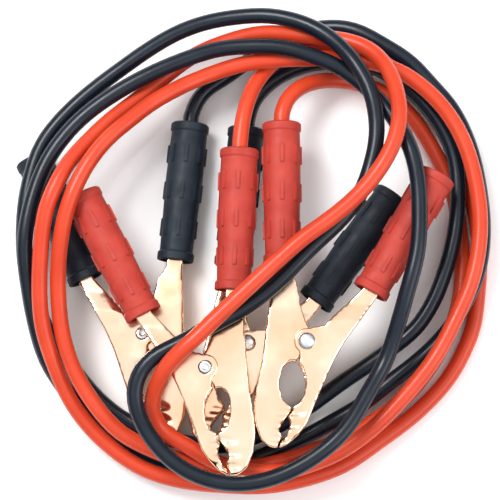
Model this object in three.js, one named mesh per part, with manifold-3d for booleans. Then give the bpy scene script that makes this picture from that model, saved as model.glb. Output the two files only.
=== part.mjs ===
// Car jumper cable set: two insulated cables, each with a spring clamp at both ends,
// lying as a loose pile of rings. Millimetres, +Z up, origin under the middle of the clamps.
import * as THREE from 'three';
import { mergeVertices } from 'three/addons/utils/BufferGeometryUtils.js';
import Module from 'manifold-3d';

const wasm = await Module();
wasm.setup();

// Clearances
const gap = 0.3;
const jawGap = 0.22;

// Clamp sheet and pivot
const sheet = 1.2;
const rivetRadius = 2.2;
const rivetHeadRadius = 4;
const rivetHeadHeight = 2;
const rivetTailRadius = 3;
const rivetTailHeight = 0.9;
const earRadius = 6.2;
const movingHalfWidth = 8;
const fixedHalfWidth = movingHalfWidth - sheet - gap;
const handleHalfWidth = 5.25;
const tipHalfWidth = 4.5;
const handleWidth = 8;
const handleInGrip = 40;

// Lens-shaped wire opening between the jaws
const lensCentre = [-6.6, -19.4];
const lensRadii = [5.9, 10.4];

// Torsion spring
const springRadius = 4.4;
const springWire = 1.5;
const springTurns = 3;
const springPitch = 2.1;

// Grips
const gripEndRadius = 9.25;
const gripMouthRadius = 8.25;
const gripCollar = 4;
const gripCollarLip = 0.6;
const gripRounding = 2.2;
const cableGripLength = 67.7;
const freeGripLength = 65;
const fixedMouth = [-11.3, 37];
const movingMouth = [30, 23.5];
const movingHandleAngle = THREE.MathUtils.degToRad(-30.2);

// Cable
const cableDiameter = 7.6;
const cableSides = 8;
const cableSteps = 100;

// Outer edges of the two halves in plan, from the handle to the tip
const fixedOuter = [
  [-15.3, 33], [-17.2, 20.3], [-18.7, 8.3], [-20.9, -8.8], [-23.5, -20.8], [-24.7, -29.4],
  [-24.1, -38], [-21.5, -45.4], [-17.5, -48.8],
];
const movingOuter = [
  [17.9, 0], [12.8, -8.8], [9.9, -15.1], [5.3, -25.4], [2.5, -32.2], [0.2, -38], [-4.4, -43.7], [-9, -47.7],
];

// The edges where the jaws meet, from the pivot to the tip: teeth with a small opening between them
const fixedBite = [
  [-4, -8], [-7.1, -29], [-6.8, -32], [-9, -35], [-10.8, -37.5], [-12.6, -41], [-11, -44], [-12.8, -47],
  [-13.5, -49.6],
];
const movingBite = [
  [-4, -8], [-7.1, -29], [-6.8, -32], [-9, -35], [-8, -38], [-8.9, -41], [-10.2, -44], [-12.8, -47],
  [-13.5, -49.6],
];

// Where each clamp lies: pivot, heading and nose-up tilt in degrees, and which face is up
const clamps = [
  { name: 'red_clamp_1', pivot: [-20.8, -57.5, 29.83], heading: -2.5, tilt: 1, flipped: true, colour: 'red' },
  { name: 'red_clamp_2', pivot: [26.4, -45.4, 29.83], heading: 0, tilt: 1, flipped: false, colour: 'red' },
  { name: 'black_clamp_1', pivot: [-51.2, -40.5, 11.72], heading: -6, tilt: 1.35, flipped: true, colour: 'black' },
  { name: 'black_clamp_2', pivot: [-1.2, -45.1, 11.72], heading: -6, tilt: 1.35, flipped: false, colour: 'black' },
];

// Cable routes, from one clamp to the other
const redRoute = [
  [15.1, 59.7, 28], [15.5, 66.5, 27.5], [18.5, 73, 26], [24.5, 78.5, 22], [33.5, 82.5, 16], [42.5, 84, 10.5],
  [54, 83.5, 6], [65.5, 79.5, 4.5], [76, 71.5, 4], [86, 57.5, 4], [94, 42.5, 4], [100, 26, 4],
  [102.5, 6, 4], [103, -13.5, 4], [99, -33, 4], [91, -49, 4], [80, -64.5, 4], [67.5, -76, 5],
  [51.5, -86.5, 7], [35.5, -94, 9.5], [19, -99.5, 11.5], [2.5, -103.5, 12.5], [-14, -103, 12.5],
  [-30.5, -101, 16], [-45.5, -95.5, 21.8], [-61, -87.5, 23.5], [-72.5, -75, 24], [-83, -58, 24.5],
  [-88.5, -41, 25.5], [-90.5, -20.5, 28], [-89, -0, 36], [-84.5, 19, 42], [-76, 37.5, 41.5],
  [-65, 52, 39], [-58, 58, 37], [-47.5, 67.5, 33.5], [-33.5, 76.5, 29.5], [-18, 84, 26], [-2, 89, 26],
  [14.5, 91, 25], [31.5, 92, 23], [48, 92, 22.5], [62.5, 89.5, 22], [71.5, 86.5, 22], [85, 77, 21.5],
  [96, 64.5, 21], [103.5, 50, 21], [108, 33, 21], [110, 16, 21], [109, -0.5, 21], [105, -17.5, 21],
  [99.5, -29.5, 21], [88, -51.5, 21], [74.5, -68.5, 21], [59.5, -84, 21], [41.5, -97, 21],
  [30.5, -101.5, 21], [18, -105.5, 21], [4, -105.5, 21], [-8.5, -103.5, 21], [-19.5, -100, 21],
  [-29, -93.5, 21.5], [-40.5, -87.5, 22], [-46, -76.5, 29], [-43, -65, 39.5], [-36, -54.5, 48],
  [-26.5, -46.5, 50.8], [-17, -37, 50.5], [-8, -28.5, 50.5], [2.5, -18.5, 50.5], [14, -8, 50.5],
  [24, 1, 50.5], [36, 9.5, 50.5], [47, 18.5, 50.5], [56, 28, 50.5], [63.5, 39, 50.5], [68, 49.5, 49.5],
  [70, 61, 47], [68.5, 73.5, 42], [64.5, 85.5, 36], [56.5, 95.5, 30], [45.5, 100.5, 26],
  [33, 102.5, 22.5], [19.5, 104.5, 21.5], [6, 105, 22], [-14.5, 99.5, 22], [-29, 92.5, 22.5],
  [-42.5, 81.5, 23.5], [-53.5, 71.5, 27], [-68, 59, 31], [-77.5, 48.5, 34], [-85.5, 38.5, 38],
  [-90, 29, 41], [-94, 20.5, 41], [-97, 9, 38], [-98, -0, 35], [-99, -18.5, 31], [-98, -37, 26.5],
  [-93.5, -53, 21], [-87.5, -68, 16], [-80, -80, 13.5], [-67.5, -93, 12.5], [-50.5, -104.5, 12.5],
  [-32, -110, 12.5], [-12, -112, 12.5], [7, -112.5, 12.5], [24.5, -109.5, 12.5], [44, -103, 10],
  [62, -91, 7], [79, -78.5, 5], [95, -62, 4], [102.5, -49.5, 4], [108.5, -35, 4], [110, -23, 4],
  [111.5, -8.5, 4], [111.5, 6, 4], [108.5, 26, 4], [104, 43, 4], [97.5, 57, 4], [89, 71, 4],
  [77.5, 84.5, 4], [64, 96, 4.5], [50.5, 102, 5.5], [37, 102, 10.5], [24.5, 99.5, 13.5], [15, 95, 15],
  [8, 88, 17.5], [2.5, 80, 21.5], [-1.5, 70, 25], [-4, 58.5, 27.5], [-4.9, 47, 28],
];
const blackRoute = [
  [-29, 62.8, 9.3], [-28, 70, 9.3], [-24.5, 76.5, 9.3], [-19.5, 81.5, 9], [-13, 85, 8.5], [-5, 91.5, 7],
  [6, 99.5, 5.5], [17.5, 106, 5], [28.5, 110.5, 5.5], [39.5, 111.5, 7.5], [51, 109.5, 11],
  [66.5, 100.5, 12.5], [78.5, 92.5, 12.5], [88.5, 81, 12.5], [97, 71.5, 12.5], [104, 58, 12.5],
  [108.5, 44, 12.5], [111, 29.5, 12.5], [112.5, 15, 12.5], [112, 1.5, 12.5], [109, -12.5, 12.5],
  [103, -25.5, 12.5], [95.5, -37.5, 12.5], [86, -48, 12], [76.5, -56, 10.5], [67, -63, 8.5],
  [54, -73.5, 6], [40, -81.5, 4.5], [25.5, -89.5, 4], [6.5, -98, 4], [-7, -103, 4], [-24, -103.5, 4],
  [-41, -101.5, 4], [-56, -94.5, 4], [-70.5, -87, 4], [-81, -76.5, 5], [-90.5, -64, 7],
  [-97.5, -52.5, 12], [-102, -36.5, 18.5], [-105, -18, 25], [-106.5, 0.5, 30.5], [-103, 22, 31],
  [-96, 41, 31], [-89, 51.5, 31], [-81, 60.5, 31], [-71.5, 68, 32], [-60, 75.5, 32.5],
  [-45, 83.5, 32.5], [-28.5, 90.5, 31.5], [-14.5, 95, 30.5], [0, 96, 31], [14.5, 95.5, 32],
  [28.5, 91.5, 32.5], [44, 85, 32], [54.5, 76.5, 32], [64, 66, 35], [70.5, 55, 39.5], [75.5, 44, 42],
  [78.5, 29.5, 42], [79, 16.5, 42], [78, -3.5, 42], [73.5, -20.5, 41.5], [69, -37, 36],
  [63.5, -54, 31], [54, -70.5, 34.5], [44.5, -86, 38.5], [30.5, -98.5, 39.5], [15, -107, 39.5],
  [0, -111, 39.5], [-15, -110.5, 39.5], [-28, -106, 39.5], [-40, -97, 39.5], [-49, -85, 39.5],
  [-53.5, -73, 40.5], [-52, -62, 41.5], [-45, -53, 42.3], [-34.5, -48, 42.3], [-27.5, -44, 42.3],
  [-18, -38.5, 42], [-10, -34.5, 41], [-1, -29, 41], [9.5, -21.5, 41], [19.5, -11.5, 42],
  [29.5, -1, 42], [37, 5.5, 42], [46.5, 15.5, 42], [53, 26, 42], [56.5, 36.5, 42], [59, 47, 42],
  [59.5, 57, 41.5], [58, 67.5, 42], [54.5, 77.5, 41], [48.5, 88, 38.5], [40.5, 98, 33.5],
  [29, 106.5, 29.5], [17, 111, 27], [6, 113, 24.5], [-7.5, 112.5, 22.5], [-22, 110, 21.5],
  [-36, 104.5, 22], [-49, 96.5, 22.5], [-60.5, 88, 23], [-73, 78.5, 23], [-84, 69, 23],
  [-92.5, 60, 23], [-100, 49.5, 23], [-104, 37.5, 23], [-107, 23, 23], [-108, 6.5, 22],
  [-107, -10, 19], [-102.5, -26, 12], [-96, -41.5, 6.5], [-87.5, -53.5, 4.5], [-79.5, -64, 4],
  [-70.5, -73.5, 4], [-59.5, -81.5, 4], [-47, -87.5, 4], [-33, -91.5, 4], [-19, -93.5, 4],
  [-7, -92.5, 4], [4.5, -88, 4], [17.5, -81.5, 4], [30, -73.5, 4], [43.5, -63.5, 5], [56.5, -55, 7.5],
  [68.5, -46.5, 10], [79.5, -37.5, 12], [87.5, -25.5, 12.5], [93, -12.5, 12.5], [97, 0.5, 12.5],
  [99.5, 12.5, 12.5], [100.5, 29.5, 12.5], [99.5, 44, 12.5], [95.5, 56, 12.5], [89.5, 66, 12.5],
  [80.5, 76.5, 12.5], [71, 84.5, 12.5], [59.5, 91, 12], [46.5, 94, 9], [33.5, 93.5, 7.5],
  [23.5, 91, 8], [13.5, 86, 8.5], [6.5, 80.5, 9], [1.5, 74, 9.3], [-0.8, 67.5, 9.3], [-1.5, 60.6, 9.3],
];

const copper = new THREE.MeshStandardMaterial({ color: 0xf2c29b, metalness: 0.9, roughness: 0.25 });
const zinc = new THREE.MeshStandardMaterial({ color: 0xc9d2dc, metalness: 0.9, roughness: 0.3 });
const springSteel = new THREE.MeshStandardMaterial({ color: 0xb9bcc0, metalness: 0.9, roughness: 0.35 });
const gripPlastic = {
  red: new THREE.MeshStandardMaterial({ color: 0xbf4a3c, roughness: 0.6 }),
  black: new THREE.MeshStandardMaterial({ color: 0x26333d, roughness: 0.6 }),
};
const cableJacket = {
  red: new THREE.MeshStandardMaterial({ color: 0xd93a22, roughness: 0.35 }),
  black: new THREE.MeshStandardMaterial({ color: 0x141d28, roughness: 0.35 }),
};

// Booleans
function toSolid(geometry) {
  const bare = geometry.clone();
  bare.deleteAttribute('normal');
  bare.deleteAttribute('uv');
  const merged = mergeVertices(bare, 1e-4);
  return new wasm.Manifold(new wasm.Mesh({
    numProp: 3,
    vertProperties: new Float32Array(merged.attributes.position.array),
    triVerts: new Uint32Array(merged.index.array),
  }));
}

function toGeometry(solid) {
  const mesh = solid.getMesh();
  const geometry = new THREE.BufferGeometry();
  geometry.setAttribute('position', new THREE.BufferAttribute(mesh.vertProperties, 3));
  geometry.setIndex(new THREE.BufferAttribute(mesh.triVerts, 1));
  geometry.computeVertexNormals();
  return geometry;
}

const toShape = (points) => new THREE.Shape(points.map(([x, y]) => new THREE.Vector2(x, y)));

// A plan outline made into a prism of the given half height about z = 0
function planPrism(points, halfHeight) {
  const geometry = new THREE.ExtrudeGeometry(toShape(points), { depth: 2 * halfHeight, bevelEnabled: false });
  return toSolid(geometry.translate(0, 0, -halfHeight));
}

// A symmetric side profile, given as [y, half width] pairs, made into a prism along X
function sideProfile(widths, reach) {
  const outline = [...widths, ...widths.map(([y, w]) => [y, -w]).reverse()];
  const geometry = new THREE.ExtrudeGeometry(toShape(outline), { depth: 2 * reach, bevelEnabled: false });
  geometry.translate(0, 0, -reach);
  const basis = new THREE.Matrix4().makeBasis(
    new THREE.Vector3(0, 1, 0), new THREE.Vector3(0, 0, 1), new THREE.Vector3(1, 0, 0));
  return toSolid(geometry.applyMatrix4(basis));
}

// A line moved sideways by the given distance, to its left as it runs
function offsetLine(points, distance) {
  return points.map((point, i) => {
    const before = points[Math.max(i - 1, 0)];
    const after = points[Math.min(i + 1, points.length - 1)];
    const along = new THREE.Vector2(after[0] - before[0], after[1] - before[1]).normalize();
    return [point[0] - along.y * distance, point[1] + along.x * distance];
  });
}

function cylinder(radius, halfHeight, sides = 24) {
  return toSolid(new THREE.CylinderGeometry(radius, radius, 2 * halfHeight, sides).rotateX(Math.PI / 2));
}

function arc(radius, from, to, steps) {
  return Array.from({ length: steps + 1 }, (_, i) => {
    const angle = THREE.MathUtils.degToRad(from + (to - from) * i / steps);
    return [radius * Math.cos(angle), radius * Math.sin(angle)];
  });
}

const everything = 120;
const shiftX = (points, dx) => points.map(([x, y]) => [x + dx, y]);

// Cuts the hollow, the lens and the rivet hole out of a folded half
function foldedHalf(outline, hollow, widths) {
  const inner = widths.map(([y, w]) => [y, w - sheet]);
  const lens = toSolid(new THREE.CylinderGeometry(1, 1, everything, 24)
    .rotateX(Math.PI / 2).scale(lensRadii[0], lensRadii[1], 1).translate(...lensCentre, 0));
  return planPrism(outline, everything).intersect(sideProfile(widths, everything))
    .subtract(planPrism(hollow, everything).intersect(sideProfile(inner, everything)))
    .subtract(lens)
    .subtract(cylinder(rivetRadius + gap, everything));
}

function fixedJaw() {
  const strip = fixedMouth[1] + handleInGrip;
  const left = fixedMouth[0] - handleWidth / 2;
  const right = fixedMouth[0] + handleWidth / 2;
  const outer = [[left, strip], ...fixedOuter];
  const outline = [
    ...outer, ...shiftX(fixedBite, -jawGap).reverse(), ...arc(earRadius, -105, 80, 8),
    [-1.2, 11.8], [-2, 14.6], [-4.2, 27.8], [right, 33], [right, strip],
  ];
  const hollow = [
    [left + sheet, strip + sheet], ...offsetLine(outer.slice(1), sheet), [everything, -everything],
    [everything, strip + sheet],
  ];
  const widths = [
    [strip + 2, handleHalfWidth], [30, handleHalfWidth], [15, fixedHalfWidth], [-12, fixedHalfWidth],
    [-30, tipHalfWidth], [-60, tipHalfWidth],
  ];
  return foldedHalf(outline, hollow, widths);
}

// A point of the moving handle, by its distance along the grip's axis and across it
function onMovingHandle(along, across) {
  const direction = new THREE.Vector2(0, 1).rotateAround(new THREE.Vector2(), movingHandleAngle);
  return [
    movingMouth[0] + direction.x * along + direction.y * across,
    movingMouth[1] + direction.y * along - direction.x * across,
  ];
}

function movingJaw() {
  const half = handleWidth / 2;
  const outer = [onMovingHandle(handleInGrip, half), onMovingHandle(-1, half), ...movingOuter];
  const outline = [
    ...outer, ...shiftX(movingBite, jawGap).reverse(), ...arc(earRadius, 235, 80, 8),
    [8.8, 7.8], [11.6, 11.2], onMovingHandle(-1, -half), onMovingHandle(handleInGrip, -half),
  ];
  const hollow = [
    onMovingHandle(handleInGrip + sheet, half - sheet), ...offsetLine(outer.slice(1), -sheet),
    [-everything, -everything], [-everything, everything],
  ];
  const widths = [
    [everything, handleHalfWidth], [18, handleHalfWidth], [9, movingHalfWidth], [-12, movingHalfWidth],
    [-30, tipHalfWidth], [-60, tipHalfWidth],
  ];
  return foldedHalf(outline, hollow, widths);
}

// A blind moulded sleeve along +Y from its mouth, with a rectangular socket for the handle
function grip(length) {
  const lip = gripMouthRadius + gripCollarLip;
  const profile = [
    [0, 0], [lip, 0], [lip, gripCollar], [gripMouthRadius, gripCollar + gripCollarLip],
    [gripEndRadius, length * 0.6], [gripEndRadius, length - gripRounding],
    [gripEndRadius - gripRounding * 0.3, length - gripRounding * 0.3], [gripEndRadius - gripRounding, length],
    [0, length],
  ].map(([r, y]) => new THREE.Vector2(r, y));
  const body = toSolid(new THREE.LatheGeometry(profile, 18));
  const depth = handleInGrip + gap;
  const socket = new THREE.BoxGeometry(
    handleWidth + 2 * gap, 2 * depth, 2 * (handleHalfWidth + gap));
  return toGeometry(body.subtract(toSolid(socket)));
}

function rivet() {
  const face = movingHalfWidth + gap;
  const profile = [
    [0, -face - rivetTailHeight], [rivetTailRadius * 0.7, -face - rivetTailHeight], [rivetTailRadius, -face],
    [rivetRadius, -face], [rivetRadius, face], [rivetHeadRadius, face],
    [rivetHeadRadius * 0.85, face + rivetHeadHeight * 0.6], [rivetHeadRadius * 0.45, face + rivetHeadHeight * 0.93],
    [0, face + rivetHeadHeight],
  ].map(([r, y]) => new THREE.Vector2(r, y));
  return new THREE.LatheGeometry(profile, 16).rotateX(Math.PI / 2);
}

class SpringCurve extends THREE.Curve {
  getPoint(t, target = new THREE.Vector3()) {
    const angle = Math.PI + t * springTurns * 2 * Math.PI;
    const z = (t - 0.5) * springTurns * springPitch;
    return target.set(springRadius * Math.cos(angle), springRadius * Math.sin(angle), z);
  }
}

function spring() {
  const coil = new SpringCurve();
  const turnSteps = 8;
  const points = coil.getPoints(springTurns * turnSteps);
  const rise = springTurns * springPitch / 2;
  const fixedLeg = new THREE.Vector3(-14.6, 19, -rise);
  const movingLeg = new THREE.Vector3(13.6, 12.5, rise);
  const path = new THREE.CatmullRomCurve3([
    fixedLeg, new THREE.Vector3(-9, 10, -rise), ...points, new THREE.Vector3(3.5, -5.4, rise), movingLeg]);
  return tube(path, springWire / 2, 6, 46);
}

// A closed round tube along a curve
function tube(path, radius, sides, steps) {
  const section = toShape(arc(radius, 0, 360 - 360 / sides, sides - 1));
  return new THREE.ExtrudeGeometry(section, { steps, bevelEnabled: false, extrudePath: path });
}

function cable(route) {
  const path = new THREE.CatmullRomCurve3(route.map((point) => new THREE.Vector3(...point)));
  return tube(path, cableDiameter / 2, cableSides, cableSteps);
}

function add(parent, name, geometry, material) {
  const mesh = new THREE.Mesh(geometry, material);
  mesh.name = name;
  parent.add(mesh);
  return mesh;
}

// A group in a clamp's own frame: pivot at the origin, handles towards +Y
function clampFrame({ pivot, heading, tilt, flipped }) {
  const place = new THREE.Group();
  place.position.set(...pivot);
  place.rotation.z = THREE.MathUtils.degToRad(heading);
  const lean = new THREE.Group();
  lean.rotation.x = THREE.MathUtils.degToRad(-tilt);
  const own = new THREE.Group();
  own.rotation.y = flipped ? Math.PI : 0;
  place.add(lean);
  lean.add(own);
  return { place, own };
}

const group = new THREE.Group();
const clampGroup = new THREE.Group();
group.add(clampGroup);

for (const clamp of clamps) {
  const { place, own } = clampFrame(clamp);
  clampGroup.add(place);
  add(own, `${clamp.name}_fixed_jaw`, toGeometry(fixedJaw()), copper);
  add(own, `${clamp.name}_moving_jaw`, toGeometry(movingJaw()), copper);
  add(own, `${clamp.name}_rivet`, rivet(), zinc);
  add(own, `${clamp.name}_spring`, spring(), springSteel);
  const cableGrip = add(own, `${clamp.name}_cable_grip`, grip(cableGripLength), gripPlastic[clamp.colour]);
  cableGrip.position.set(...fixedMouth, 0);
  const freeGrip = add(own, `${clamp.name}_free_grip`, grip(freeGripLength), gripPlastic[clamp.colour]);
  freeGrip.position.set(...movingMouth, 0);
  freeGrip.rotation.z = movingHandleAngle;
}

add(group, 'red_cable', cable(redRoute), cableJacket.red);
add(group, 'black_cable', cable(blackRoute), cableJacket.black);

// The origin goes under the middle of the clamps
const box = new THREE.Box3().setFromObject(clampGroup);
const middle = box.getCenter(new THREE.Vector3());
group.position.set(-middle.x, -middle.y, -box.min.z);

export default group;
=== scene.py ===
import math

import bmesh
import bpy
from mathutils import Matrix, Vector


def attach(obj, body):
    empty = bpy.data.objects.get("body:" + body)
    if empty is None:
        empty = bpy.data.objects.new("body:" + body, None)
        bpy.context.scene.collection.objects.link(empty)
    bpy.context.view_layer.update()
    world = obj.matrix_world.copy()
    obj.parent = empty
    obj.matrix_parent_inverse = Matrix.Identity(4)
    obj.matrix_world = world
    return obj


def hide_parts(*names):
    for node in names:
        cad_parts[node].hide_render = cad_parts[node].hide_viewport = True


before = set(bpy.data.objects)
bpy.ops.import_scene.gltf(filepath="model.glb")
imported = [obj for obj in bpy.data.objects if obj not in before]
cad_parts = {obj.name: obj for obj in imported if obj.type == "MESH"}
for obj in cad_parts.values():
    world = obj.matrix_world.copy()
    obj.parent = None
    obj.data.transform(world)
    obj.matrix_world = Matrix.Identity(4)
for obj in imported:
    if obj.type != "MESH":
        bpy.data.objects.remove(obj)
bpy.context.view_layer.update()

MM = 0.001

# The pile's own frame, in which the clamps and cables are laid out, moved as the model moves it
SHIFT = (8.294, 22.325, -0.006)

# Clamps: pivot in millimetres, heading and tilt in degrees, and whether the clamp lies face down
CLAMPS = {
    "red_clamp_1": ((-20.8, -57.5, 29.83), -2.5, 1.0, True),
    "red_clamp_2": ((26.4, -45.4, 29.83), 0.0, 1.0, False),
    "black_clamp_1": ((-51.2, -40.5, 11.72), -6.0, 1.35, True),
    "black_clamp_2": ((-1.2, -45.1, 11.72), -6.0, 1.35, False),
}

# Grips, in millimetres
FIXED_MOUTH = (-11.3, 37.0)
MOVING_MOUTH = (30.0, 23.5)
MOVING_ANGLE = -30.2
CABLE_GRIP_LENGTH = 67.7
FREE_GRIP_LENGTH = 65.0
END_RADIUS = 9.25
MOUTH_RADIUS = 8.25
COLLAR = 4.0
COLLAR_LIP = 0.6
COLLAR_STEP = 0.3
MOUTH_BORE = 7.3
MOUTH_DEPTH = 5.0
MOUTH_CHAMFER = 0.5
EDGE_ROUND = 0.4
BODY_DROP = 0.3
BAND_STEP = 0.6
BAND_EDGE = 0.1
END_ROUND = ((0.0, 0.8), (0.7, 0.1), (1.2, 0.0))
CABLE_ENTRY = 4.6
GRIP_SIDES = 48

# Where along a grip its body reaches full radius, and the shares of its length that are drawn
FULL_SHARE = 0.6
BODY_SHARES = (0.25, 0.45, 0.6)

# Raised bars of the grips, in millimetres
BAR_SIZE = (1.9, 8.8, 0.75)
BAR_ROWS = 3
BARS_IN_ROW = 8
BAR_PITCH = 18.0
BAR_BEVEL = 0.3
BAR_SINK = 0.1

# Pivot, in millimetres
RIVET_FACE = 8.3
RIVET_RADIUS = 2.2
RIVET_HEAD = (4.0, 2.0)
RIVET_TAIL = (3.0, 0.9)
RIVET_SIDES = 32
DOME_STEPS = 8

# The upset tail's outline, as shares of its radius and height
TAIL_SHAPE = ((0, 0.6), (0.4, 0.7), (0.55, 1), (0.85, 0.85), (1, 0.3))

# Pressed jaws: softened edges, and grooves beside the teeth, in millimetres but for the voxel in metres
JAW_VOXEL = 0.00075
JAW_SMOOTHING = 5
JAW_SMOOTH_FACTOR = 0.5
GROOVES = 3
GROOVE_SPAN = (-48.0, -30.0)
GROOVE_DEPTH = 0.9
GROOVE_FLOOR = 3.0
GROOVE_REACH = 9.0
BITE_TIP = (-13.5, -49.6)
BITE_SLOPE = 0.31

# Cables: the diameter in metres, the step along the route in millimetres
CABLE_DIAMETER = 0.0076
CABLE_STEP = 4.0
CABLE_EASE = 3
CABLE_BEVEL = 7

# Camera: the target, lens and sensor in millimetres, the distance in metres, the elevation in degrees
TARGET = (0.0, 0.0, 15.0)
ELEVATION = 83.0
DISTANCE = 0.85
LENS = 127.5
SENSOR = 36.0

# Studio: sky colours by height, and each light's place, size in metres and power in watts
WORLD_STRENGTH = 1.15
SKY_FOOT = (0.3, (0.2, 0.19, 0.19, 1))
SKY_TOP = (0.8, (1, 1, 1, 1))
LIGHTS = {
    "key": ((-0.5, 0.5, 1.1), 0.5, 14),
    "fill": ((0.9, -0.3, 0.8), 0.8, 6),
}
FLOOR_COLOR = (0.97, 0.97, 0.97)
FLOOR_ROUGHNESS = 0.8
FLOOR_REACH = 3
FLOOR_DROP = 0.0005

# Materials: the gloss of rubber and plastic, and the middle range of a noise that is used
SOFT_GLOSS = 0.3
SPREAD_RANGE = (0.3, 0.7)
TINT_RANGE = (0.35, 0.65)
JACKET_WEAR = (0.05, 0.08)
MOULDED_ROUGHNESS = 0.55
ZINC_ROUGHNESS = 0.3
SMOOTH_ANGLE = 35.0

# Routes of the cables' centrelines, in the pile's own frame in millimetres

RED_ROUTE = [
    (15.1, 59.7, 28), (15.5, 66.5, 27.5), (18.5, 73, 26), (24.5, 78.5, 22), (33.5, 82.5, 16),
    (42.5, 84, 10.5), (54, 83.5, 6), (65.5, 79.5, 4.5), (76, 71.5, 4), (86, 57.5, 4), (94, 42.5, 4),
    (100, 26, 4), (102.5, 6, 4), (103, -13.5, 4), (99, -33, 4), (91, -49, 4), (80, -64.5, 4), (67.5, -76, 5),
    (51.5, -86.5, 7), (35.5, -94, 9.5), (19, -99.5, 11.5), (2.5, -103.5, 12.5), (-14, -103, 12.5),
    (-30.5, -101, 16), (-45.5, -95.5, 21.8), (-61, -87.5, 23.5), (-72.5, -75, 24), (-83, -58, 24.5),
    (-88.5, -41, 25.5), (-90.5, -20.5, 28), (-89, 0, 36), (-84.5, 19, 42), (-76, 37.5, 41.5),
    (-65, 52, 39), (-58, 58, 37), (-47.5, 67.5, 33.5), (-33.5, 76.5, 29.5), (-18, 84, 26), (-2, 89, 26),
    (14.5, 91, 25), (31.5, 92, 23), (48, 92, 22.5), (62.5, 89.5, 22), (71.5, 86.5, 22), (85, 77, 21.5),
    (96, 64.5, 21), (103.5, 50, 21), (108, 33, 21), (110, 16, 21), (109, -0.5, 21), (105, -17.5, 21),
    (99.5, -29.5, 21), (88, -51.5, 21), (74.5, -68.5, 21), (59.5, -84, 21), (41.5, -97, 21),
    (30.5, -101.5, 21), (18, -105.5, 21), (4, -105.5, 21), (-8.5, -103.5, 21), (-19.5, -100, 21),
    (-29, -93.5, 21.5), (-40.5, -87.5, 22), (-46, -76.5, 29), (-43, -65, 39.5), (-36, -54.5, 48),
    (-26.5, -46.5, 50.8), (-17, -37, 50.5), (-8, -28.5, 50.5), (2.5, -18.5, 50.5), (14, -8, 50.5),
    (24, 1, 50.5), (36, 9.5, 50.5), (47, 18.5, 50.5), (56, 28, 50.5), (63.5, 39, 50.5), (68, 49.5, 49.5),
    (70, 61, 47), (68.5, 73.5, 42), (64.5, 85.5, 36), (56.5, 95.5, 30), (45.5, 100.5, 26),
    (33, 102.5, 22.5), (19.5, 104.5, 21.5), (6, 105, 22), (-14.5, 99.5, 22), (-29, 92.5, 22.5),
    (-42.5, 81.5, 23.5), (-53.5, 71.5, 27), (-68, 59, 31), (-77.5, 48.5, 34), (-85.5, 38.5, 38),
    (-90, 29, 41), (-94, 20.5, 41), (-97, 9, 38), (-98, 0, 35), (-99, -18.5, 31), (-98, -37, 26.5),
    (-93.5, -53, 21), (-87.5, -68, 16), (-80, -80, 13.5), (-67.5, -93, 12.5), (-50.5, -104.5, 12.5),
    (-32, -110, 12.5), (-12, -112, 12.5), (7, -112.5, 12.5), (24.5, -109.5, 12.5), (44, -103, 10),
    (62, -91, 7), (79, -78.5, 5), (95, -62, 4), (102.5, -49.5, 4), (108.5, -35, 4), (110, -23, 4),
    (111.5, -8.5, 4), (111.5, 6, 4), (108.5, 26, 4), (104, 43, 4), (97.5, 57, 4), (89, 71, 4),
    (77.5, 84.5, 4), (64, 96, 4.5), (50.5, 102, 5.5), (37, 102, 10.5), (24.5, 99.5, 13.5), (15, 95, 15),
    (8, 88, 17.5), (2.5, 80, 21.5), (-1.5, 70, 25), (-4, 58.5, 27.5), (-4.9, 47, 28),
]
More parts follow.
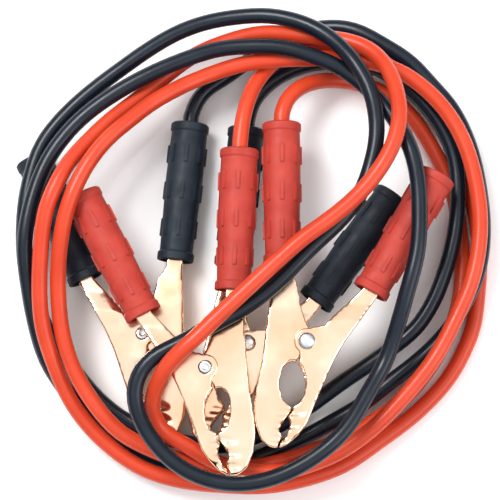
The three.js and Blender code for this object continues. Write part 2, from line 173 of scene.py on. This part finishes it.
BLACK_ROUTE = [
    (-29, 62.8, 9.3), (-28, 70, 9.3), (-24.5, 76.5, 9.3), (-19.5, 81.5, 9), (-13, 85, 8.5), (-5, 91.5, 7),
    (6, 99.5, 5.5), (17.5, 106, 5), (28.5, 110.5, 5.5), (39.5, 111.5, 7.5), (51, 109.5, 11),
    (66.5, 100.5, 12.5), (78.5, 92.5, 12.5), (88.5, 81, 12.5), (97, 71.5, 12.5), (104, 58, 12.5),
    (108.5, 44, 12.5), (111, 29.5, 12.5), (112.5, 15, 12.5), (112, 1.5, 12.5), (109, -12.5, 12.5),
    (103, -25.5, 12.5), (95.5, -37.5, 12.5), (86, -48, 12), (76.5, -56, 10.5), (67, -63, 8.5),
    (54, -73.5, 6), (40, -81.5, 4.5), (25.5, -89.5, 4), (6.5, -98, 4), (-7, -103, 4), (-24, -103.5, 4),
    (-41, -101.5, 4), (-56, -94.5, 4), (-70.5, -87, 4), (-81, -76.5, 5), (-90.5, -64, 7),
    (-97.5, -52.5, 12), (-102, -36.5, 18.5), (-105, -18, 25), (-106.5, 0.5, 30.5), (-103, 22, 31),
    (-96, 41, 31), (-89, 51.5, 31), (-81, 60.5, 31), (-71.5, 68, 32), (-60, 75.5, 32.5),
    (-45, 83.5, 32.5), (-28.5, 90.5, 31.5), (-14.5, 95, 30.5), (0, 96, 31), (14.5, 95.5, 32),
    (28.5, 91.5, 32.5), (44, 85, 32), (54.5, 76.5, 32), (64, 66, 35), (70.5, 55, 39.5), (75.5, 44, 42),
    (78.5, 29.5, 42), (79, 16.5, 42), (78, -3.5, 42), (73.5, -20.5, 41.5), (69, -37, 36),
    (63.5, -54, 31), (54, -70.5, 34.5), (44.5, -86, 38.5), (30.5, -98.5, 39.5), (15, -107, 39.5),
    (0, -111, 39.5), (-15, -110.5, 39.5), (-28, -106, 39.5), (-40, -97, 39.5), (-49, -85, 39.5),
    (-53.5, -73, 40.5), (-52, -62, 41.5), (-45, -53, 42.3), (-34.5, -48, 42.3), (-27.5, -44, 42.3),
    (-18, -38.5, 42), (-10, -34.5, 41), (-1, -29, 41), (9.5, -21.5, 41), (19.5, -11.5, 42),
    (29.5, -1, 42), (37, 5.5, 42), (46.5, 15.5, 42), (53, 26, 42), (56.5, 36.5, 42), (59, 47, 42),
    (59.5, 57, 41.5), (58, 67.5, 42), (54.5, 77.5, 41), (48.5, 88, 38.5), (40.5, 98, 33.5),
    (29, 106.5, 29.5), (17, 111, 27), (6, 113, 24.5), (-7.5, 112.5, 22.5), (-22, 110, 21.5),
    (-36, 104.5, 22), (-49, 96.5, 22.5), (-60.5, 88, 23), (-73, 78.5, 23), (-84, 69, 23),
    (-92.5, 60, 23), (-100, 49.5, 23), (-104, 37.5, 23), (-107, 23, 23), (-108, 6.5, 22),
    (-107, -10, 19), (-102.5, -26, 12), (-96, -41.5, 6.5), (-87.5, -53.5, 4.5), (-79.5, -64, 4),
    (-70.5, -73.5, 4), (-59.5, -81.5, 4), (-47, -87.5, 4), (-33, -91.5, 4), (-19, -93.5, 4),
    (-7, -92.5, 4), (4.5, -88, 4), (17.5, -81.5, 4), (30, -73.5, 4), (43.5, -63.5, 5), (56.5, -55, 7.5),
    (68.5, -46.5, 10), (79.5, -37.5, 12), (87.5, -25.5, 12.5), (93, -12.5, 12.5), (97, 0.5, 12.5),
    (99.5, 12.5, 12.5), (100.5, 29.5, 12.5), (99.5, 44, 12.5), (95.5, 56, 12.5), (89.5, 66, 12.5),
    (80.5, 76.5, 12.5), (71, 84.5, 12.5), (59.5, 91, 12), (46.5, 94, 9), (33.5, 93.5, 7.5),
    (23.5, 91, 8), (13.5, 86, 8.5), (6.5, 80.5, 9), (1.5, 74, 9.3), (-0.8, 67.5, 9.3), (-1.5, 60.6, 9.3),
]


def in_frame(point):
    """A point of the layout in millimetres, as a point of the frame in metres."""
    return Vector([(a + b) * MM for a, b in zip(point, SHIFT)])


def catmull_rom(points, step):
    """Points along the centripetal spline through the given ones, about a step apart."""
    points = [Vector(p) for p in points]
    ends = [points[0] * 2 - points[1]] + points + [points[-1] * 2 - points[-2]]
    line = []
    for a, b, c, d in zip(ends, ends[1:], ends[2:], ends[3:]):
        t0, t1, t2 = ((q - p).length ** 0.5 for p, q in ((a, b), (b, c), (c, d)))
        slope_b = ((b - a) / t0 - (c - a) / (t0 + t1) + (c - b) / t1) * t1
        slope_c = ((c - b) / t1 - (d - b) / (t1 + t2) + (d - c) / t2) * t1
        count = max(1, round((c - b).length / step))
        for i in range(count):
            s = i / count
            cubic = 2 * b - 2 * c + slope_b + slope_c
            square = -3 * b + 3 * c - 2 * slope_b - slope_c
            line.append(b + slope_b * s + square * s ** 2 + cubic * s ** 3)
    return line + [points[-1]]


def eased(line, passes):
    """The line with small waves taken out, its ends kept."""
    for _ in range(passes):
        middle = [(a + 2 * b + c) / 4 for a, b, c in zip(line, line[1:], line[2:])]
        line = [line[0], line[1]] + middle[1:-1] + [line[-2], line[-1]]
    return line


def material(name, color, roughness, metallic=0.0, coat=0.0):
    """A principled material, its node tree and its shader."""
    made = bpy.data.materials.new(name)
    made.use_nodes = True
    shader = made.node_tree.nodes["Principled BSDF"]
    shader.inputs["Base Color"].default_value = (*color, 1)
    shader.inputs["Roughness"].default_value = roughness
    shader.inputs["Metallic"].default_value = metallic
    shader.inputs["Coat Weight"].default_value = coat
    return made, made.node_tree, shader


def noise(tree, scale, detail=3.0, stretch=(1, 1, 1)):
    """A noise texture laid on the object's own coordinates."""
    coordinates = tree.nodes.new("ShaderNodeTexCoord")
    mapping = tree.nodes.new("ShaderNodeMapping")
    mapping.inputs["Scale"].default_value = stretch
    texture = tree.nodes.new("ShaderNodeTexNoise")
    texture.inputs["Scale"].default_value = scale
    texture.inputs["Detail"].default_value = detail
    tree.links.new(coordinates.outputs["Object"], mapping.inputs["Vector"])
    tree.links.new(mapping.outputs["Vector"], texture.inputs["Vector"])
    return texture


def spread(tree, texture, low, high, socket):
    """Maps a texture's middle range to a range of values."""
    ramp = tree.nodes.new("ShaderNodeMapRange")
    ramp.inputs["From Min"].default_value, ramp.inputs["From Max"].default_value = SPREAD_RANGE
    ramp.inputs["To Min"].default_value = low
    ramp.inputs["To Max"].default_value = high
    tree.links.new(texture.outputs["Fac"], ramp.inputs["Value"])
    tree.links.new(ramp.outputs["Result"], socket)


def tint(tree, texture, first, second, socket):
    """Blends two colours by a texture."""
    ramp = tree.nodes.new("ShaderNodeValToRGB")
    for stop, position, color in zip(ramp.color_ramp.elements, TINT_RANGE, (first, second)):
        stop.position = position
        stop.color = (*color, 1)
    tree.links.new(texture.outputs["Fac"], ramp.inputs["Fac"])
    tree.links.new(ramp.outputs["Color"], socket)


def bump(tree, texture, shader, strength, distance):
    """Raises the surface by a texture, the distance in metres."""
    node = tree.nodes.new("ShaderNodeBump")
    node.inputs["Strength"].default_value = strength
    node.inputs["Distance"].default_value = distance
    tree.links.new(texture.outputs["Fac"], node.inputs["Height"])
    tree.links.new(node.outputs["Normal"], shader.inputs["Normal"])


def copper_plate():
    made, tree, shader = material("copper_plate", color=(1.0, 0.7, 0.5), roughness=0.16, metallic=1.0)
    clouds = noise(tree, scale=35)
    tint(tree, clouds, first=(0.98, 0.64, 0.42), second=(1.0, 0.78, 0.6), socket=shader.inputs["Base Color"])
    scratches = noise(tree, scale=260, detail=6.0, stretch=(3, 1, 3))
    handling = noise(tree, scale=70, detail=5.0)
    spread(tree, handling, low=0.1, high=0.27, socket=shader.inputs["Roughness"])
    bump(tree, scratches, shader, strength=0.05, distance=0.0001)
    return made


def zinc_plate(name, color):
    made, tree, shader = material(name, color, ZINC_ROUGHNESS, metallic=1.0)
    grain = noise(tree, scale=900)
    spread(tree, grain, low=0.22, high=0.4, socket=shader.inputs["Roughness"])
    bump(tree, grain, shader, strength=0.1, distance=0.0001)
    return made


def jacket(name, dark, light, roughness, coat):
    """A cable's smooth extruded skin."""
    made, tree, shader = material(name, dark, roughness, coat=coat)
    shader.inputs["Specular IOR Level"].default_value = SOFT_GLOSS
    tint(tree, noise(tree, scale=45), dark, light, shader.inputs["Base Color"])
    skin = noise(tree, scale=700, detail=2.0)
    less, more = JACKET_WEAR
    spread(tree, noise(tree, scale=120), roughness - less, roughness + more, shader.inputs["Roughness"])
    bump(tree, skin, shader, strength=0.05, distance=0.0002)
    return made


def moulded(name, dark, light):
    """The grips' matt moulded plastic."""
    made, tree, shader = material(name, dark, MOULDED_ROUGHNESS)
    shader.inputs["Specular IOR Level"].default_value = SOFT_GLOSS
    tint(tree, noise(tree, scale=110, detail=5.0), dark, light, shader.inputs["Base Color"])
    pores = noise(tree, scale=1500, detail=2.0)
    spread(tree, noise(tree, scale=200), low=0.48, high=0.68, socket=shader.inputs["Roughness"])
    bump(tree, pores, shader, strength=0.25, distance=0.0002)
    return made


def new_object(name, bm, mat):
    """An object of the mesh, smooth but for its sharp edges."""
    mesh = bpy.data.meshes.new(name)
    bmesh.ops.recalc_face_normals(bm, faces=bm.faces)
    bm.to_mesh(mesh)
    bm.free()
    mesh.materials.append(mat)
    for polygon in mesh.polygons:
        polygon.use_smooth = True
    mesh.set_sharp_from_angle(angle=math.radians(SMOOTH_ANGLE))
    made = bpy.data.objects.new(name, mesh)
    bpy.context.scene.collection.objects.link(made)
    return made


def lathe(bm, profile, place, sides):
    """A closed turned body about local Y; the profile starts and ends on the axis."""
    rings = []
    for radius, y in profile:
        if radius == 0:
            rings.append([bm.verts.new(place @ Vector((0, y, 0)))])
            continue
        ring = []
        for i in range(sides):
            angle = 2 * math.pi * i / sides
            ring.append(bm.verts.new(place @ Vector((radius * math.cos(angle), y, radius * math.sin(angle)))))
        rings.append(ring)
    for low, high in zip(rings, rings[1:]):
        for i in range(sides):
            j = (i + 1) % sides
            corners = [low[i % len(low)], low[j % len(low)], high[j % len(high)], high[i % len(high)]]
            bm.faces.new(list(dict.fromkeys(corners)))


def bar(bm, place):
    """A rounded raised bar, its top away from the axis along local Z."""
    width, length, height = BAR_SIZE
    verts = bmesh.ops.create_cube(bm, size=1)["verts"]
    bmesh.ops.scale(bm, vec=(width, length, 2 * height), verts=verts)
    edges = {edge for vert in verts for edge in vert.link_edges}
    made = bmesh.ops.bevel(bm, geom=list(edges), offset=BAR_BEVEL, segments=2, affect="EDGES")
    cube = {vert for vert in verts if vert.is_valid} | set(made["verts"])
    bmesh.ops.transform(bm, matrix=place, verts=list(cube))


def clamp_matrix(name):
    """The clamp's own frame in millimetres: pivot at the origin, handles towards +Y."""
    pivot, heading, tilt, flipped = CLAMPS[name]
    place = Matrix.Translation([a + b for a, b in zip(pivot, SHIFT)])
    place = place @ Matrix.Rotation(math.radians(heading), 4, "Z")
    place = place @ Matrix.Rotation(math.radians(-tilt), 4, "X")
    return place @ Matrix.Rotation(math.pi if flipped else 0, 4, "Y")


def grip_radius(y, length):
    """The radius of a grip's body between its two collars."""
    share = min(max((y - COLLAR) / (FULL_SHARE * length - COLLAR), 0), 1)
    return MOUTH_RADIUS + (END_RADIUS - MOUTH_RADIUS) * share - BODY_DROP


def grip(name, place, length, mat):
    """A moulded sleeve from its mouth at the origin, with a collar at each end and raised bars."""
    lip = MOUTH_RADIUS + COLLAR_LIP
    heights = [COLLAR + MOUTH_CHAMFER] + [share * length for share in BODY_SHARES]
    body = [(grip_radius(y, length), y) for y in heights]
    end = [(END_RADIUS - inward, length - down) for inward, down in END_ROUND]
    profile = [
        (0, MOUTH_DEPTH), (MOUTH_BORE, MOUTH_DEPTH), (MOUTH_BORE, MOUTH_CHAMFER),
        (MOUTH_BORE + EDGE_ROUND, 0), (lip - EDGE_ROUND, 0), (lip, EDGE_ROUND),
        (lip, COLLAR - EDGE_ROUND), (lip - COLLAR_STEP, COLLAR), *body,
        (END_RADIUS - BAND_STEP, length - COLLAR - BAND_STEP), (END_RADIUS - BAND_EDGE, length - COLLAR),
        (END_RADIUS, length - COLLAR + EDGE_ROUND), *end, (CABLE_ENTRY, length), (0, length),
    ]
    bm = bmesh.new()
    lathe(bm, profile, Matrix.Identity(4), GRIP_SIDES)
    for row in range(BAR_ROWS):
        y = length / 2 + (row - (BAR_ROWS - 1) / 2) * BAR_PITCH
        for i in range(BARS_IN_ROW):
            turn = Matrix.Rotation(2 * math.pi * i / BARS_IN_ROW, 4, "Y")
            bar(bm, turn @ Matrix.Translation((0, y, grip_radius(y, length) - BAR_SINK)))
    bmesh.ops.transform(bm, matrix=Matrix.Scale(MM, 4) @ place, verts=bm.verts)
    return new_object(name, bm, mat)


def rivet(name, place, mat):
    """The pivot, with a domed head and an upset tail."""
    head, rise = RIVET_HEAD
    tail, drop = RIVET_TAIL
    angles = [math.pi / 2 * i / DOME_STEPS for i in range(DOME_STEPS)]
    dome = [(head * math.cos(a), RIVET_FACE + rise * math.sin(a)) for a in angles]
    upset = [(tail * across, -RIVET_FACE - drop * down) for across, down in TAIL_SHAPE]
    profile = [
        *upset, (tail, -RIVET_FACE), (RIVET_RADIUS, -RIVET_FACE), (RIVET_RADIUS, RIVET_FACE),
        *dome, (0, RIVET_FACE + rise),
    ]
    bm = bmesh.new()
    lathe(bm, profile, Matrix.Rotation(math.pi / 2, 4, "X"), RIVET_SIDES)
    bmesh.ops.transform(bm, matrix=Matrix.Scale(MM, 4) @ place, verts=bm.verts)
    return new_object(name, bm, mat)


def cable(name, route, node, mat):
    """A cable along its route, in place of the model's plain tube."""
    line = [in_frame(p) for p in eased(catmull_rom(route, CABLE_STEP), CABLE_EASE)]
    data = bpy.data.curves.new(name, "CURVE")
    data.dimensions = "3D"
    spline = data.splines.new("POLY")
    spline.points.add(len(line) - 1)
    for point, place in zip(spline.points, line):
        point.co = (*place, 1)
    data.bevel_depth = CABLE_DIAMETER / 2
    data.bevel_resolution = CABLE_BEVEL
    data.use_fill_caps = True
    data.materials.append(mat)
    made = bpy.data.objects.new(name, data)
    bpy.context.scene.collection.objects.link(made)
    spline.use_smooth = True
    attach(made, "root")
    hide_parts(node)


def camera():
    made = bpy.data.objects.new("camera", bpy.data.cameras.new("camera"))
    made.data.sensor_width = SENSOR
    made.data.lens = LENS
    angle = math.radians(ELEVATION)
    aim = in_frame(TARGET)
    made.location = aim + DISTANCE * Vector((0, -math.cos(angle), math.sin(angle)))
    made.rotation_euler = (math.pi / 2 - angle, 0, 0)
    bpy.context.scene.collection.objects.link(made)
    bpy.context.scene.camera = made


def area_light(name, location, size, power, aim):
    data = bpy.data.lights.new(name, "AREA")
    data.size = size
    data.energy = power
    made = bpy.data.objects.new(name, data)
    made.location = location
    made.rotation_euler = (Vector(aim) - Vector(location)).to_track_quat("-Z", "Y").to_euler()
    bpy.context.scene.collection.objects.link(made)


def studio():
    """A sky that is dark below and white above, two soft lights and a pale floor."""
    world = bpy.data.worlds.new("studio")
    world.use_nodes = True
    background = world.node_tree.nodes["Background"]
    background.inputs["Strength"].default_value = WORLD_STRENGTH
    nodes, links = world.node_tree.nodes, world.node_tree.links
    coordinates = nodes.new("ShaderNodeTexCoord")
    split = nodes.new("ShaderNodeSeparateXYZ")
    ramp = nodes.new("ShaderNodeValToRGB")
    links.new(coordinates.outputs["Generated"], split.inputs["Vector"])
    links.new(split.outputs["Z"], ramp.inputs["Fac"])
    links.new(ramp.outputs["Color"], background.inputs["Color"])
    for stop, (position, color) in zip(ramp.color_ramp.elements, (SKY_FOOT, SKY_TOP)):
        stop.position = position
        stop.color = color
    bpy.context.scene.world = world
    aim = in_frame(TARGET)
    for name, (location, size, power) in LIGHTS.items():
        area_light(name, location, size, power, aim)
    bpy.context.scene.view_settings.view_transform = "Standard"
    bm = bmesh.new()
    bmesh.ops.create_grid(bm, x_segments=1, y_segments=1, size=FLOOR_REACH)
    floor_mat = material("floor", FLOOR_COLOR, FLOOR_ROUGHNESS)[0]
    floor = new_object("floor", bm, floor_mat)
    floor.location.z = -FLOOR_DROP


def pressed_jaw(name, node, place, mat):
    """The folded half with soft bends, and pressed grooves across its plates beside the teeth."""
    made = bpy.data.objects.new(name, node.data.copy())
    bpy.context.scene.collection.objects.link(made)
    remesh = made.modifiers.new("even", "REMESH")
    remesh.mode = "VOXEL"
    remesh.voxel_size = JAW_VOXEL
    smooth = made.modifiers.new("soften", "SMOOTH")
    smooth.factor = JAW_SMOOTH_FACTOR
    smooth.iterations = JAW_SMOOTHING
    bpy.context.view_layer.update()
    mesh = bpy.data.meshes.new_from_object(made.evaluated_get(bpy.context.evaluated_depsgraph_get()))
    made.modifiers.clear()
    made.data = mesh
    mesh.materials.clear()
    mesh.materials.append(mat)
    to_world = Matrix.Scale(MM, 4) @ place
    to_local = to_world.inverted()
    start, stop = GROOVE_SPAN
    for vertex in mesh.vertices:
        point = to_local @ vertex.co
        if start < point.y < stop and abs(point.z) > GROOVE_FLOOR:
            share = (point.y - start) / (stop - start)
            wave = 0.5 - 0.5 * math.cos(2 * math.pi * GROOVES * share)
            bite = BITE_TIP[0] + (point.y - BITE_TIP[1]) * BITE_SLOPE
            reach = max(0.0, 1 - abs(point.x - bite) / GROOVE_REACH)
            point.z -= math.copysign(GROOVE_DEPTH * wave * min(1, 2 * reach), point.z)
            vertex.co = to_world @ point
    for polygon in mesh.polygons:
        polygon.use_smooth = True
    return made


def dress_clamp(name, mats):
    """Puts the finished grips, rivet and jaws of a clamp in place of its plain solids."""
    place = clamp_matrix(name)
    color = name.split("_")[0]
    lever = name + "_lever"
    swing = Matrix.Rotation(math.radians(MOVING_ANGLE), 4, "Z")
    grips = (
        ("cable_grip", Matrix.Translation((*FIXED_MOUTH, 0)), CABLE_GRIP_LENGTH, "root"),
        ("free_grip", Matrix.Translation((*MOVING_MOUTH, 0)) @ swing, FREE_GRIP_LENGTH, lever),
    )
    for kind, local, length, body in grips:
        piece = grip(f"{name}_{kind}_moulded", place @ local, length, mats[color + "_grip"])
        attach(piece, body)
        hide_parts(f"{name}_{kind}")
    piece = rivet(name + "_rivet_domed", place, mats["zinc"])
    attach(piece, "root")
    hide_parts(name + "_rivet")
    finishes = (("fixed_jaw", "copper_plate"), ("moving_jaw", "copper_plate"), ("spring", "spring_steel"))
    for kind, mat in finishes:
        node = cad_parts[f"{name}_{kind}"]
        node.data.materials.clear()
        node.data.materials.append(mats[mat])
        if kind != "spring":
            piece = pressed_jaw(f"{name}_{kind}_pressed", node, place, mats[mat])
            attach(piece, "root" if kind == "fixed_jaw" else lever)
            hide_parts(f"{name}_{kind}")


camera()
studio()
MATERIALS = {
    "copper_plate": copper_plate(),
    "zinc": zinc_plate("zinc", color=(0.72, 0.76, 0.82)),
    "spring_steel": zinc_plate("spring_steel", color=(0.6, 0.6, 0.6)),
    "red_cable": jacket(
        "red_cable", dark=(0.56, 0.045, 0.014), light=(0.63, 0.058, 0.02), roughness=0.34, coat=0.05),
    "black_cable": jacket(
        "black_cable", dark=(0.003, 0.007, 0.014), light=(0.005, 0.011, 0.021), roughness=0.3, coat=0.05),
    "red_grip": moulded("red_grip", dark=(0.4, 0.036, 0.024), light=(0.47, 0.05, 0.034)),
    "black_grip": moulded("black_grip", dark=(0.007, 0.013, 0.021), light=(0.013, 0.021, 0.032)),
}
cable("red_cable_jacket", RED_ROUTE, "red_cable", MATERIALS["red_cable"])
cable("black_cable_jacket", BLACK_ROUTE, "black_cable", MATERIALS["black_cable"])
for clamp_name in CLAMPS:
    dress_clamp(clamp_name, MATERIALS)
